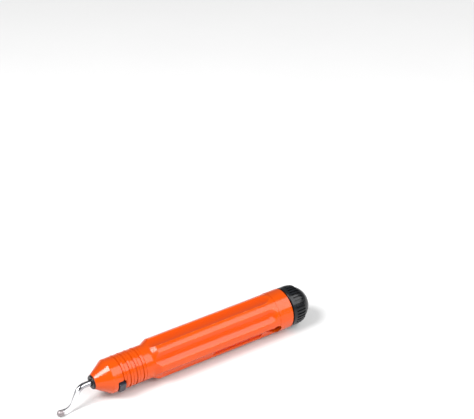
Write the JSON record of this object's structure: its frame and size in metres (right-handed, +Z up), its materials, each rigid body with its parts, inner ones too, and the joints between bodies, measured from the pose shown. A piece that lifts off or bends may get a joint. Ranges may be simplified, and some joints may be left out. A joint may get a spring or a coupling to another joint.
{
  "type": "deburring tool",
  "caption": "Pen-type deburring tool: fluted orange handle with a ringed neck, push-button blade latch, free-swivelling S-shaped blade and ribbed black screw cap.",
  "frame": {"origin": "on the table under the middle of the tool lying on its side, half way between the blade tip and the end of the cap", "axes": "+X along the tool from the blade to the cap, +Y away from the side that shows the release button, +Z up"},
  "size_m": [0.1524, 0.022, 0.022],
  "materials": {
    "handle_orange": "satin gloss orange moulded plastic",
    "black_plastic": "semi-gloss black plastic",
    "core_plastic": "matt black acetal",
    "steel": "ground steel",
    "bronze": "sintered bronze",
    "ball_steel": "polished bearing steel",
    "brass": "turned brass",
    "spring_steel": "drawn spring steel",
    "button_plastic": "semi-gloss black plastic",
    "blade_steel": "polished high-speed steel with ground faces",
    "cap_plastic": "fine-textured black plastic",
    "seal_rubber": "black nitrile rubber"
  },
  "bodies": {
    "handle": {"handle_body": "handle_orange", "nose_collar": "black_plastic", "holder_core": "core_plastic", "bearing_sleeve": "steel", "rear_bush": "bronze", "thrust_ball": "ball_steel", "thrust_screw": "brass", "core_snap_ring": "spring_steel", "chamber_wall": "core_plastic", "latch_spring": "spring_steel"},
    "blade": {"deburring_blade": "blade_steel"},
    "button": {"release_button": "button_plastic", "latch_plate": "steel"},
    "seal": {"cap_seal": "seal_rubber"},
    "cap": {"end_cap": "cap_plastic"}
  },
  "joints": [
    {"name": "blade_swivel", "type": "hinge", "parent": "handle", "child": "blade", "pos_m": [-0.04875, 0, 0.011], "axis": [1, 0, 0], "continuous": true},
    {"name": "button_press", "type": "slide", "parent": "handle", "child": "button", "axis": [0, 0.9397, 0.342], "range_m": [0, 0.0012], "stiffness_N_per_m": 1500, "springref_m": -0.0015, "deforming": ["latch_spring"]},
    {"name": "cap_travel", "type": "slide", "parent": "handle", "child": "seal", "axis": [1, 0, 0], "range_m": [0, 0.0076]},
    {"name": "cap_unscrew", "type": "hinge", "parent": "seal", "child": "cap", "pos_m": [0.06225, 0, 0.011], "axis": [1, 0, 0], "range_deg": [0, 1080]}
  ],
  "couplings": [
    {"joint": "cap_travel", "follows": "cap_unscrew", "m_per_rad": 0.00039789}
  ]
}
